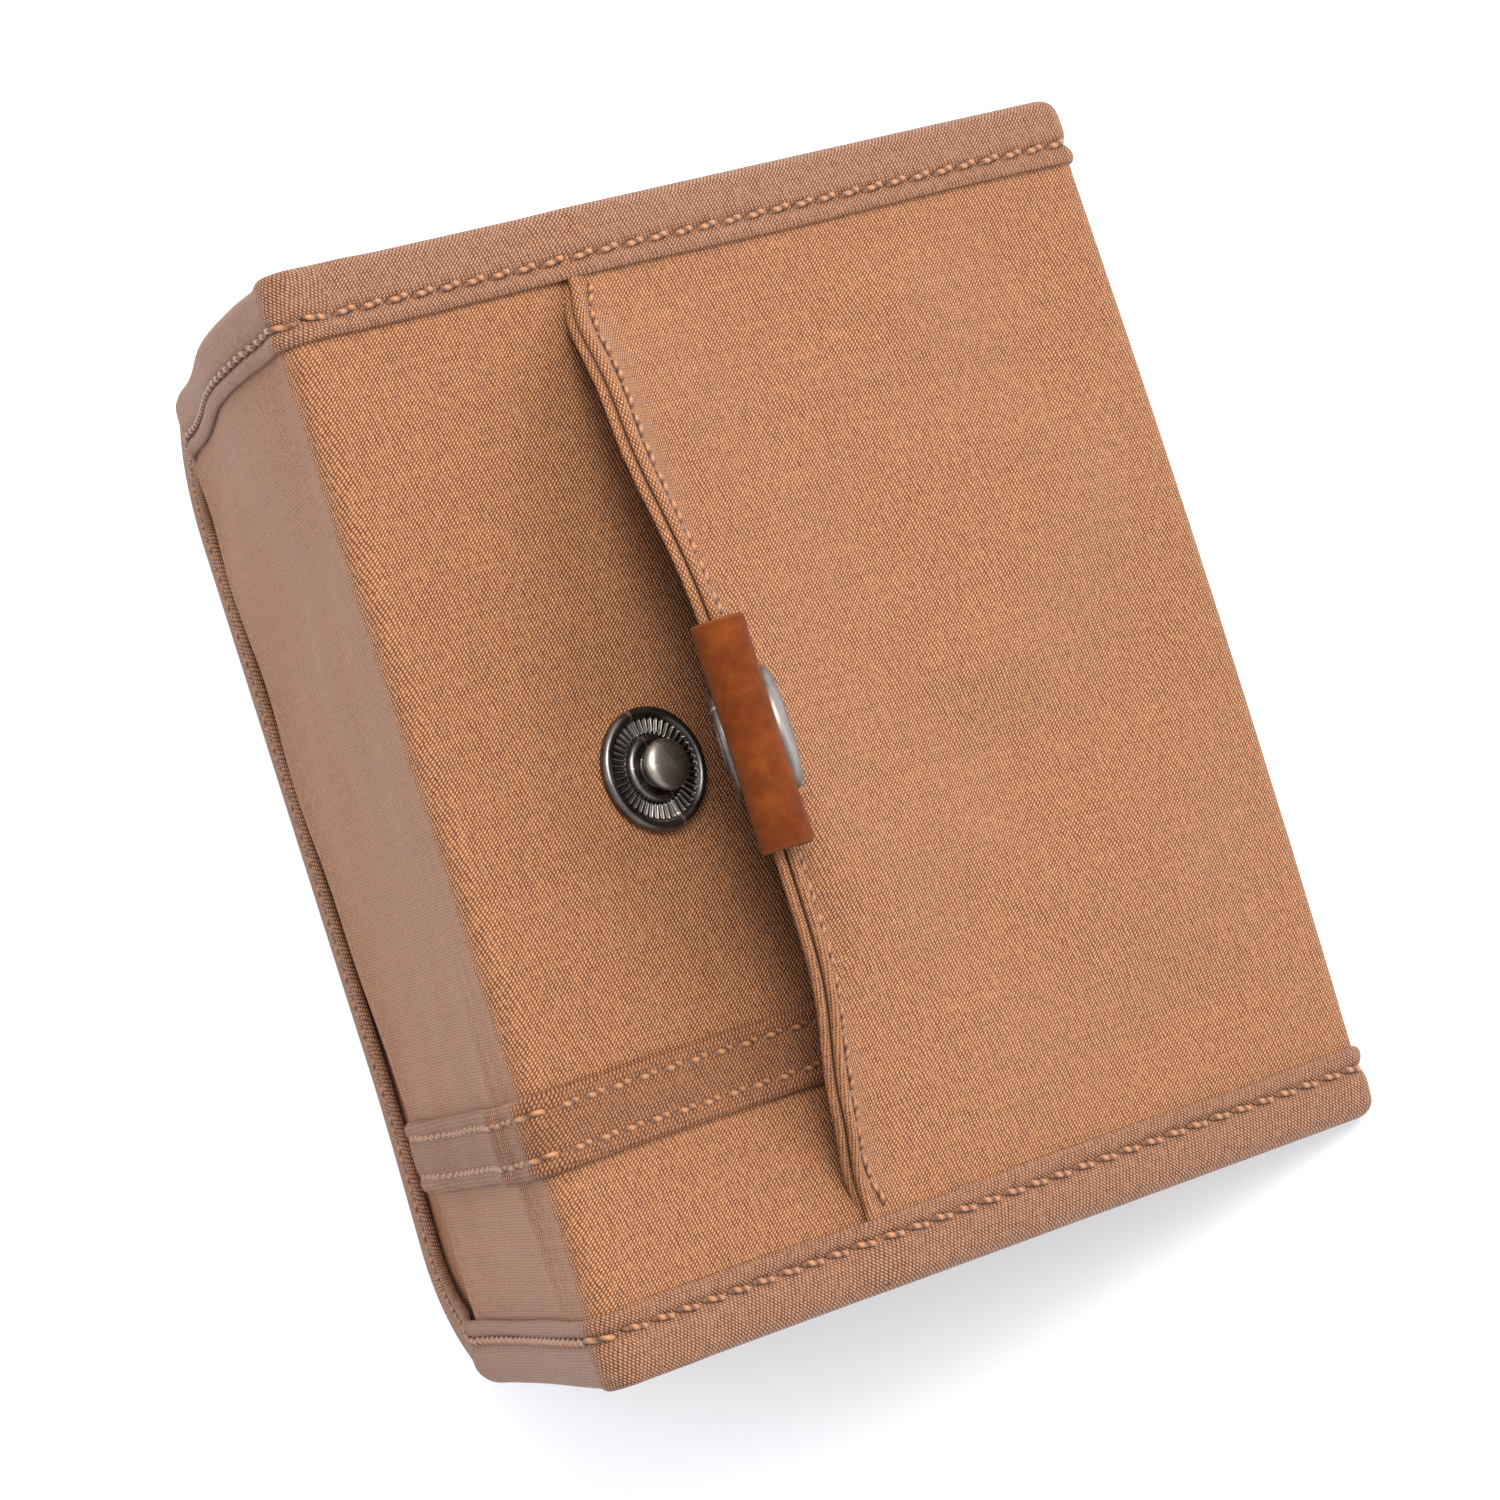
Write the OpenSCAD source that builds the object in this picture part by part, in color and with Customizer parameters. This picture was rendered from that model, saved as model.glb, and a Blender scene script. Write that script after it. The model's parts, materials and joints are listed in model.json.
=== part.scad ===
// A two-fold fabric wallet standing half open on its two free ends, like a tent.
// Four bodies: the right half with the snap pocket, the narrow spine strip, the left half,
// and the pocket's lip, which lifts off the snap stud. X runs across the fold, Y along it.

/* [Whole wallet] */
// Length of the fold, bottom edge to top edge
wallet_h = 100; // [90:1:110]
// Reach of the right half and the spine together, from the ridge to the free end
right_reach = 93; // [88:1:100]
// Reach of the left half, from the ridge to the free end
left_reach = 84; // [76:1:92]
// Width of the spine strip between the two creases
spine_w = 8; // [7.5:0.5:10]
// Slope of the right half above the floor, as the wallet stands
right_slope = 54.3; // [50:0.1:58]

/* [Cloth] */
// Thickness of the outer panels
shell_t = 1; // [0.8:0.1:1.2]
// Thickness of the binding tape
tape_t = 0.5; // [0.4:0.05:0.6]
// Width of the binding tape that shows on each face
tape_w = 6.5; // [6:0.5:8]
// Radius of the rounded corners at the left free end
corner_r = 14; // [10:1:16]
// Width of the strap
strap_w = 6.5; // [5:0.5:8]
// Distance of the strap's middle from the middle of the wallet
strap_v = 27.3; // [24:0.1:30]

/* [Snap pocket] */
// Distance of the lip's fold line from the ridge
lip_u = 31.5; // [30:0.5:34]
// Angle that the lip stands up from the panel at rest
lip_angle = 52; // [40:1:60]
// Height of the bulge in the pocket front, at the mouth
bulge_h = 2.2; // [1.5:0.1:2.6]
// Width of the leather tab
tab_w = 20.6; // [18:0.1:24]
// Distance from the lip's fold line to the tab's outer end
tab_reach = 16.8; // [16:0.1:18]
// Diameter of the snap stud's disc
stud_d = 11.2; // [10:0.1:12]
// Diameter of the snap stud's knob
knob_d = 4.6; // [4:0.1:5]
// Distance of the snap stud's centre from the ridge
stud_u = 22.7; // [22:0.1:24]

/* [Hidden] */
$fn = 64;

twill = "tan";
twill_dark = "peru";
lining_colour = "sienna";
board = "dimgray";
gunmetal = "slategray";
leather = "saddlebrown";

// Clear gap kept between cloth on either side of a crease
crease_gap = 0.15;
// Room added to every layer that would meet another at a fold
fold_room = 0.3;
edge_v = wallet_h / 2;
panel_v = edge_v - tape_t;
rim_v = edge_v - tape_w;

// Heights of the layers of the right half, measured outward from the crease axes
front_bottom = 1.2;
front_top = 2;
stiff_bottom = -0.6;
washer_bottom = -1;
right_lining_bottom = -1.6;
inner_pocket_top = -1.8;
inner_pocket_bottom = -2.6;
inner_tape = inner_pocket_bottom - tape_t;
roll_w = (front_top + inner_pocket_bottom) / 2;
roll_r = (front_top - inner_pocket_bottom) / 2;
roll_u = right_reach - roll_r - tape_t;

// Heights of the layers of the left half
left_top = 0.9;
base_top = -0.3;
base_bottom = -0.9;
left_stiff_bottom = -1.4;
left_lining_bottom = -2;
card_top = -2.2;
slip_mouth_u = left_reach - 8;

// The ridge's height puts the round right end on the floor, and the left slope then
// puts the inner corner of the left end on the floor too.
ridge_z = roll_u * sin(right_slope) - roll_w * cos(right_slope) + roll_r + tape_t;
left_diag = sqrt(left_reach * left_reach + inner_tape * inner_tape);
left_slope = asin(ridge_z / left_diag) - atan(-inner_tape / left_reach);
right_x = roll_u * cos(right_slope) + roll_w * sin(right_slope) + roll_r + tape_t;
left_x = left_reach * cos(left_slope) + (base_top + tape_t) * sin(left_slope);
ridge_x = (left_x - right_x) / 2;

// At the ridge the cloth bends by this angle, and a layer this deep needs this much room
ridge_bend = right_slope + left_slope;
close_bend = 180 - ridge_bend;
function ridge_room(depth) = depth * tan(ridge_bend / 2) + fold_room;
function crease_room(depth) = depth * tan(close_bend / 2) + fold_room;

// The lip's fold line and its sheet
sheet_t = 0.8;
lip_w = front_top + bulge_h - sheet_t / 2;
hem_r = 0.9;
hem_reach = tab_reach - 2.4;
mouth_v = 42.3;
lip_start = 0.9;
lip_sag = hem_reach - lip_start;
mouth_r = (mouth_v * mouth_v + lip_sag * lip_sag) / (2 * lip_sag);
snap_x = lip_u - stud_u;
tab_out = 2.8;
tab_in = 1.8;
post_r = 1.2;
post_bore_r = 1.3;

module right_frame() {
    translate([ridge_x, 0, ridge_z]) rotate([0, right_slope, 0]) children();
}

module left_frame() {
    translate([ridge_x, 0, ridge_z]) rotate([0, -left_slope, 0]) mirror([1, 0, 0]) children();
}

module lip_frame() {
    right_frame() translate([lip_u, 0, lip_w]) rotate([0, lip_angle, 0]) mirror([1, 0, 0]) children();
}

// A flat layer from u0 to u1 along the half, v0 to v1 along the fold, w0 to w1 outward
module layer(u0, u1, v0, v1, w0, w1) {
    translate([u0, v0, w0]) cube([u1 - u0, v1 - v0, w1 - w0]);
}

// A layer of the left half whose free end has rounded corners
module round_layer(u0, inset, w0, w1) {
    r = corner_r - inset;
    u1 = left_reach - inset;
    v = edge_v - inset;
    layer(u0, u1 - r, -v, v, w0, w1);
    layer(u1 - r - 1, u1, -(v - r), v - r, w0, w1);
    for (side = [-1, 1])
        translate([u1 - r, side * (v - r), w0]) cylinder(r = r, h = w1 - w0);
}

module right_outer_panel() {
    color(twill) right_frame() difference() {
        layer(spine_w + crease_gap, roll_u - 0.1, -panel_v, panel_v, 0, shell_t);
        translate([stud_u, 0, -1]) cylinder(r = post_bore_r, h = shell_t + 2);
    }
}

module right_stiffener() {
    color(board) right_frame() difference() {
        layer(spine_w + crease_room(-stiff_bottom), roll_u - 0.1, -panel_v, panel_v, stiff_bottom, 0);
        translate([stud_u, 0, stiff_bottom - 1]) cylinder(r = post_bore_r, h = 3);
    }
}

module right_lining() {
    color(lining_colour) right_frame()
        layer(spine_w + crease_room(-right_lining_bottom), roll_u - 0.1, -panel_v, panel_v,
              right_lining_bottom, washer_bottom);
}

module right_inner_pocket() {
    color(twill) right_frame()
        layer(24, roll_u, -panel_v, panel_v, inner_pocket_bottom, inner_pocket_top);
}

// The fold of cloth at the right free end, which joins the pocket front to the inner pocket
module roll_half(radius, v0, v1) {
    intersection() {
        translate([roll_u, v1, roll_w]) rotate([90, 0, 0]) cylinder(r = radius, h = v1 - v0);
        layer(roll_u, right_reach + 1, v0 - 1, v1 + 1, -9, 9);
    }
}

module right_end_fold() {
    color(twill) right_frame() difference() {
        roll_half(roll_r, -panel_v, panel_v);
        roll_half(roll_r - sheet_t, -panel_v - 1, panel_v + 1);
    }
}

// Binding tape on one edge of the right half, wrapped round the free end; side is 1 or -1
module right_binding(side) {
    start = spine_w + crease_gap;
    inner_start = spine_w + crease_room(-inner_tape);
    mirror([0, side < 0 ? 1 : 0, 0]) {
        layer(start, lip_u, rim_v, edge_v, shell_t, shell_t + tape_t);
        layer(lip_u, roll_u, rim_v, edge_v, front_top, front_top + tape_t);
        layer(start, roll_u, panel_v, edge_v, 0, shell_t + tape_t / 2);
        layer(inner_start, roll_u, panel_v, edge_v, inner_tape, front_bottom);
        layer(lip_u, roll_u, panel_v, edge_v, 0, front_top + tape_t);
        layer(inner_start, roll_u, rim_v, edge_v, inner_tape, inner_pocket_bottom);
        difference() {
            roll_half(roll_r + tape_t, rim_v, edge_v);
            roll_half(roll_r, rim_v - 1, panel_v);
        }
    }
}

module right_top_binding() {
    color(twill_dark) right_frame() right_binding(1);
}

module right_bottom_binding() {
    color(twill_dark) right_frame() right_binding(-1);
}

// Tilted round that lifts the pocket front into a shallow bulge, highest at the mouth
module bulge(drop) {
    half = 40;
    round_r = (half * half + bulge_h * bulge_h) / (2 * bulge_h);
    length = roll_u - lip_u;
    fall = atan(bulge_h / length);
    translate([lip_u, 0, front_top + bulge_h - round_r])
        rotate([0, 90 + fall, 0])
            translate([0, 0, -20]) cylinder(r = round_r - drop, h = length + 20, $fn = 180);
}

module pocket_front_panel() {
    color(twill) right_frame() difference() {
        intersection() {
            layer(lip_u + 0.4, roll_u, -panel_v, panel_v, front_bottom, front_top + bulge_h + 1);
            union() {
                layer(lip_u, roll_u + 1, -panel_v - 1, panel_v + 1, front_bottom, front_top);
                bulge(0);
            }
        }
        bulge(sheet_t);
    }
}

module strap_right() {
    color(twill_dark) right_frame()
        layer(spine_w + crease_gap, lip_u + 4.5, -strap_v - strap_w / 2, -strap_v + strap_w / 2,
              shell_t, shell_t + sheet_t);
}

module snap_stud() {
    r = stud_d / 2;
    k = knob_d / 2;
    color(gunmetal) right_frame() translate([stud_u, 0, shell_t]) {
        rotate_extrude() polygon([
            [0, 0], [r - 0.3, 0], [r, 0.3], [r, 0.7], [r - 0.3, 1], [r - 1, 1], [r - 1.5, 0.6],
            [k + 1, 0.6], [k + 0.6, 1], [k - 0.5, 1], [k - 0.5, 1.6], [k, 2], [k, 2.4],
            [k - 0.5, 2.9], [k - 1.4, 3.1], [0, 3.1]]);
        translate([0, 0, washer_bottom - shell_t]) cylinder(r = post_r, h = shell_t - washer_bottom);
    }
}

module stud_washer() {
    color(gunmetal) right_frame() translate([stud_u, 0, washer_bottom]) difference() {
        cylinder(r = 4, h = stiff_bottom - washer_bottom);
        translate([0, 0, -1]) cylinder(r = post_r, h = 3);
    }
}

module spine_outer_panel() {
    color(twill) right_frame()
        layer(crease_gap, spine_w - crease_gap, -panel_v, panel_v, 0, shell_t);
}

module spine_lining() {
    color(lining_colour) right_frame()
        layer(ridge_room(sheet_t), spine_w - crease_room(sheet_t), -panel_v, panel_v, -sheet_t, 0);
}

module spine_binding(side) {
    depth = sheet_t + tape_t;
    u0 = ridge_room(depth);
    u1 = spine_w - crease_room(depth);
    mirror([0, side < 0 ? 1 : 0, 0]) {
        layer(crease_gap, spine_w - crease_gap, rim_v, edge_v, shell_t, shell_t + tape_t);
        layer(crease_gap, spine_w - crease_gap, panel_v, edge_v, 0, shell_t + tape_t / 2);
        layer(u0, u1, panel_v, edge_v, -depth, shell_t);
        layer(u0, u1, rim_v, edge_v, -depth, -sheet_t);
    }
}

module spine_top_binding() {
    color(twill_dark) right_frame() spine_binding(1);
}

module spine_bottom_binding() {
    color(twill_dark) right_frame() spine_binding(-1);
}

module strap_spine() {
    color(twill_dark) right_frame()
        layer(crease_gap, spine_w - crease_gap, -strap_v - strap_w / 2, -strap_v + strap_w / 2,
              shell_t, shell_t + sheet_t);
}

module left_pocket_panel() {
    color(twill) left_frame() intersection() {
        layer(crease_gap, slip_mouth_u, -edge_v, edge_v, 0, left_top);
        round_layer(0, tape_t, 0, left_top);
    }
}

module left_base_panel() {
    color(twill) left_frame() round_layer(ridge_room(-base_bottom), tape_t, base_bottom, base_top);
}

module left_stiffener() {
    color(board) left_frame()
        round_layer(ridge_room(-left_stiff_bottom), tape_t, left_stiff_bottom, base_bottom);
}

module left_lining() {
    color(lining_colour) left_frame()
        round_layer(ridge_room(-left_lining_bottom), tape_t, left_lining_bottom, left_stiff_bottom);
}

module left_card_pocket() {
    color(twill) left_frame() round_layer(26, tape_t, inner_pocket_bottom, card_top);
}

// Channel of tape round the edge of the left half, open inward, between two heights
module left_channel(w0, w1) {
    difference() {
        round_layer(0, 0, w0, w1);
        round_layer(-1, tape_t, w0 + tape_t, w1 - tape_t);
        round_layer(-1, tape_w, w0 - 1, w1 + 1);
    }
}

module left_binding() {
    color(twill_dark) left_frame() difference() {
        left_channel(inner_tape, left_top + tape_t);
        layer(-1, crease_gap, -60, 60, -9, 9);
        layer(-1, ridge_room(-inner_tape), -60, 60, -9, 0);
        layer(slip_mouth_u, left_reach + 1, -60, 60, -9, 9);
    }
}

module left_end_binding() {
    color(twill_dark) left_frame() difference() {
        left_channel(inner_tape, base_top + tape_t);
        layer(-1, slip_mouth_u, -60, 60, -9, 9);
    }
}

// The strap turns over the mouth of the slip pocket and ends inside it
module strap_left() {
    color(twill_dark) left_frame() {
        layer(crease_gap, slip_mouth_u + tape_t, -strap_v - strap_w / 2, -strap_v + strap_w / 2,
              left_top, left_top + tape_t);
        layer(slip_mouth_u, slip_mouth_u + tape_t, -strap_v - strap_w / 2, -strap_v + strap_w / 2,
              base_top + 0.1, left_top + tape_t / 2);
    }
}

module pocket_lip() {
    color(twill) lip_frame() difference() {
        intersection() {
            layer(lip_start, tab_reach, -mouth_v, mouth_v, -sheet_t / 2, sheet_t / 2);
            translate([hem_reach - mouth_r, 0, -1]) cylinder(r = mouth_r - hem_r, h = 2, $fn = 180);
        }
        translate([snap_x, 0, -2]) cylinder(r = post_bore_r, h = 4);
    }
}

// Rolled hem along the curved mouth, on each side of the tab
module hem_piping() {
    a0 = asin((tab_w / 2 + 0.1) / mouth_r);
    a1 = asin((mouth_v - 3) / mouth_r);
    color(twill_dark) lip_frame() translate([hem_reach - mouth_r, 0, 0])
        for (start = [a0, -a1])
            rotate([0, 0, start]) rotate_extrude(angle = a1 - a0, $fn = 180)
                translate([mouth_r, 0]) circle(r = hem_r, $fn = 24);
}

// The tab is one strip of leather folded over the lip, with a layer on each face
module leather_tab() {
    v = tab_w / 2;
    fold = 2;
    leg_start = 1.8;
    color(leather) lip_frame() difference() {
        union() {
            layer(leg_start, tab_reach - fold, -v, v, sheet_t / 2, tab_out);
            layer(leg_start, tab_reach - fold, -v, v, -tab_in, -sheet_t / 2);
            intersection() {
                layer(tab_reach - fold - 0.5, tab_reach, -v, v, -tab_in, tab_out);
                translate([tab_reach - (tab_in + tab_out) / 2, v, (tab_out - tab_in) / 2])
                    rotate([90, 0, 0]) cylinder(r = (tab_in + tab_out) / 2, h = tab_w);
            }
        }
        layer(0, tab_reach - fold, -v - 1, v + 1, -sheet_t / 2, sheet_t / 2);
        translate([snap_x, 0, -9]) cylinder(r = post_bore_r, h = 20);
        translate([snap_x, 0, -9]) cylinder(r = 5, h = 9 - sheet_t / 2);
    }
}

module snap_cap() {
    r = stud_d / 2;
    color(gunmetal) lip_frame() translate([snap_x, 0, 0]) {
        translate([0, 0, tab_out]) rotate_extrude() polygon([
            [0, 0], [r, 0], [r, 0.5], [r - 0.3, 0.9], [r - 0.9, 1.2], [r - 1.4, 1.05],
            [r - 2.4, 1.2], [0, 1.35]]);
        translate([0, 0, -sheet_t / 2]) cylinder(r = post_r, h = tab_out + sheet_t / 2);
    }
}

module snap_socket() {
    ring_h = 2;
    color(gunmetal) lip_frame() translate([snap_x, 0, -sheet_t / 2 - ring_h]) difference() {
        cylinder(r = 4.9, h = ring_h);
        translate([0, 0, -1]) cylinder(r = 3, h = ring_h + 0.6);
    }
}

right_outer_panel();
right_stiffener();
right_lining();
right_inner_pocket();
right_top_binding();
right_bottom_binding();
pocket_front_panel();
right_end_fold();
strap_right();
snap_stud();
stud_washer();
spine_outer_panel();
spine_lining();
spine_top_binding();
spine_bottom_binding();
strap_spine();
left_pocket_panel();
left_base_panel();
left_stiffener();
left_lining();
left_card_pocket();
left_binding();
left_end_binding();
strap_left();
pocket_lip();
hem_piping();
leather_tab();
snap_cap();
snap_socket();
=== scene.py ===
import json
import math

import bmesh
import bpy
import numpy as np
from mathutils import Matrix, Vector


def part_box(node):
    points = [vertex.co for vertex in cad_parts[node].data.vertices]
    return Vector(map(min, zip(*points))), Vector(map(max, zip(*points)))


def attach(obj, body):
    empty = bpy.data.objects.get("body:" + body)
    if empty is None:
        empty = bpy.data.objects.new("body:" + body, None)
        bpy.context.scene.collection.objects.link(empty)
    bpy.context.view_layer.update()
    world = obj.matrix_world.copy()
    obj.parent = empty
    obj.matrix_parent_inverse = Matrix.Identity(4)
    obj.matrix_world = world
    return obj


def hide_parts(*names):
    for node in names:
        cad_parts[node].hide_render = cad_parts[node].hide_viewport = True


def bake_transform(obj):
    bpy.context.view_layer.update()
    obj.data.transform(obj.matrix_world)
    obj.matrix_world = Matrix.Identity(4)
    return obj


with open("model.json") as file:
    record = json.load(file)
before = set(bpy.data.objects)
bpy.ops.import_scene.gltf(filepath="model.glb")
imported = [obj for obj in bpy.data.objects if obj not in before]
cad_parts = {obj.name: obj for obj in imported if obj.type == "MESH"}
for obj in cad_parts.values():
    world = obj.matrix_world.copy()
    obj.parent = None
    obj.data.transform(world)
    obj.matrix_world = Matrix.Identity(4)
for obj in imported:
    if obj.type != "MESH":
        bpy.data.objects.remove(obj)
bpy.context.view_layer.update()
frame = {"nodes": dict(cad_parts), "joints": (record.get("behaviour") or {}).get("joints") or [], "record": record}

# ---- places, in millimetres
MM = 1000.0
axes = {joint["name"]: np.array(joint["pos_m"]) * MM for joint in frame["joints"]}
ridge, crease, lip_axis = axes["left_crease"], axes["right_crease"], axes["lip_fold"]
along_right = (crease - ridge) / np.linalg.norm(crease - ridge)
out_right = np.array([-along_right[2], 0.0, along_right[0]])
out_left = np.array(frame["record"]["mounts"][0]["axis"], float)
along_left = np.array([-out_left[2], 0.0, out_left[0]])
angle_left = math.atan2(out_left[2], out_left[0])
angle_right = math.atan2(out_right[2], out_right[0])
RIGHT = (along_right, out_right)
LEFT = (along_left, out_left)


def span(node, half):
    """Lowest and highest (u, v, w) of a CAD node in one half's own axes, in millimetres."""
    along, out = half
    points = np.array([v.co for v in frame["nodes"][node].data.vertices], float) * MM - ridge
    local = np.stack([points @ along, points[:, 1], points @ out], axis=1)
    return local.min(0), local.max(0)


right_tape_low, right_tape_high = span("right_top_binding", RIGHT)
roll_low, roll_high = span("right_end_fold", RIGHT)
stud_low, stud_high = span("snap_stud", RIGHT)
strap_low, strap_high = span("strap_left", LEFT)
inner_low, _ = span("right_inner_pocket", RIGHT)
_, front_high = span("pocket_front_panel", RIGHT)
left_tape_low, _ = span("left_binding", LEFT)
_, left_end_high = span("left_end_binding", LEFT)
card_low, _ = span("left_card_pocket", LEFT)

EDGE = right_tape_high[1]  # half the fold's length
RIM = right_tape_low[1]  # inner rim of the binding tape
TAPE_W = EDGE - RIM
LEFT_END = left_end_high[0]
SLIP_MOUTH = strap_high[0] - 0.5  # mouth of the left half's slip pocket
SPINE = float(np.linalg.norm(crease - ridge))
SEAM = SPINE / 2  # pieces meet here, in the middle of the spine
LIP_U = float((lip_axis - ridge) @ along_right)
LIP_W = float((lip_axis - ridge) @ out_right)
STUD_U = (stud_low[0] + stud_high[0]) / 2
STRAP_MID = (strap_low[1] + strap_high[1]) / 2
STRAP_W = strap_high[1] - strap_low[1]
ROLL_W = (roll_low[2] + roll_high[2]) / 2
ROLL_R = (roll_high[2] - roll_low[2]) / 2
ROLL_U = roll_high[0] - ROLL_R
INNER_BOTTOM = inner_low[2]
CORNER_R = 14.0  # rounded corners of the left free end
STITCH = 2.9  # stitch pitch
LIP_ANGLE = math.radians(52)

# The cloth turns the ridge on a small round instead of a sharp corner
half_bend = (angle_left - angle_right) / 2
FOLD_R = 1.0
FOLD_REACH = FOLD_R * math.tan(half_bend)  # how far the round goes each way along the cloth
angle_between = (angle_left + angle_right) / 2
bisector = np.array([math.cos(angle_between), 0.0, math.sin(angle_between)])
fold_centre = ridge - bisector * FOLD_R / math.cos(half_bend)


def smooth(x, a, b):
    t = np.clip((x - a) / (b - a), 0, 1)
    return t * t * (3 - 2 * t)


def bell(x, centre, width):
    return np.exp(-((x - centre) / width) ** 2)


def sag(u, v):
    """How far the soft left half sags inward, before it turns out again at its free end."""
    corner = smooth(-v, 18, 44)
    turn_out = np.clip((u - 62) / (LEFT_END - 62), 0, 1) ** 2
    shoulder = 2.2 * smooth(v, 18, 48) * smooth(u, 2, 14) * bell(u, 33, 23)
    return (1.1 - 0.15 * corner) * smooth(u, 4, 50) - (1.1 + 0.5 * corner) * turn_out - shoulder


def together(*values):
    """The values as float arrays of one shape."""
    return np.broadcast_arrays(*(np.asarray(value, float) for value in values))


def place(s, v, w):
    """Metres in the frame: s along the wallet (left half negative), v along the fold, w outward."""
    s, v, w = (value[..., None] for value in together(s, v, w))
    right = ridge + s * along_right + w * out_right
    left = ridge - s * along_left + (w - sag(-s, v)) * out_left
    t = np.clip((s / FOLD_REACH + 1) / 2, 0, 1)
    turn = angle_left + (angle_right - angle_left) * t
    spoke = np.concatenate([np.cos(turn), 0 * turn, np.sin(turn)], axis=-1)
    bend = fold_centre + (FOLD_R + w) * spoke
    out = np.where(s >= FOLD_REACH, right, np.where(s <= -FOLD_REACH, left, bend))
    out[..., 1] = v[..., 0]
    return out / MM


def ripple(x, y, size, seed):
    """Smooth random height from -1 to 1, the same for the same seed; size is the width of a ripple."""
    rng = np.random.default_rng(seed)
    total = np.zeros(np.broadcast(x, y).shape)
    for _ in range(9):
        heading, phase = rng.uniform(0, math.tau, 2)
        wave = rng.uniform(0.7, 1.5) * size
        total += np.cos((x * math.cos(heading) + y * math.sin(heading)) * math.tau / wave / 2 + phase)
    return total / 4.5


def weave_grid(x, y):
    """Weave coordinates, in metres, of a grid of points x along the warp and y across it."""
    return np.stack(together(x, y), axis=-1) / MM


def running(lengths):
    """Distance at each point, from the lengths of the steps between the points."""
    return np.concatenate([[0], np.cumsum(lengths)])


# ---- mesh helpers
def edit_mesh(obj, change):
    """Runs change(bm) on an object's mesh."""
    bm = bmesh.new()
    bm.from_mesh(obj.data)
    change(bm)
    bm.to_mesh(obj.data)
    bm.free()


def weld(bm, distance):
    """Merges vertices nearer than distance, in millimetres, and clears what collapses."""
    bmesh.ops.remove_doubles(bm, verts=bm.verts, dist=distance / MM)
    bmesh.ops.dissolve_degenerate(bm, dist=1e-7, edges=bm.edges)


def mesh_object(name, points, faces, corners):
    """A smooth-shaded mesh, linked; corners has the weave coordinates of each face's corners."""
    mesh = bpy.data.meshes.new(name)
    mesh.from_pydata([tuple(p) for p in points], [], faces)
    mesh.uv_layers.new(name="weave").data.foreach_set("uv", np.array(corners, np.float32).ravel())
    mesh.polygons.foreach_set("use_smooth", [True] * len(faces))
    obj = bpy.data.objects.new(name, mesh)
    bpy.context.scene.collection.objects.link(obj)
    return obj


def grid_object(name, points, uv, ring=False, merge=0.0):
    """Quads from an n by m array of points in metres; ring joins the last column to the first."""
    n, m = points.shape[:2]
    faces, corners = [], []
    for i in range(n - 1):
        for j in range(m if ring else m - 1):
            k = (j + 1) % m
            faces.append((i * m + j, (i + 1) * m + j, (i + 1) * m + k, i * m + k))
            corners += [uv[i, j], uv[i + 1, j], uv[i + 1, j + 1], uv[i, j + 1]]
    obj = mesh_object(name, points.reshape(-1, 3), faces, corners)

    def clean(bm):
        if merge:
            weld(bm, merge)
        for edge in bm.edges:
            edge.smooth = not edge.is_boundary
    edit_mesh(obj, clean)
    return obj


def dress(obj, material, thickness=0.0, levels=1):
    """Material, slot, thickness inward from the modelled face, and smoothing."""
    obj.data.materials.append(material)
    if levels:
        sub = obj.modifiers.new("smooth", "SUBSURF")
        sub.levels = levels
        sub.render_levels = levels
        sub.boundary_smooth = "PRESERVE_CORNERS"
    if thickness:
        solid = obj.modifiers.new("thickness", "SOLIDIFY")
        solid.thickness = thickness / MM
        solid.offset = -1
    return obj


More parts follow.
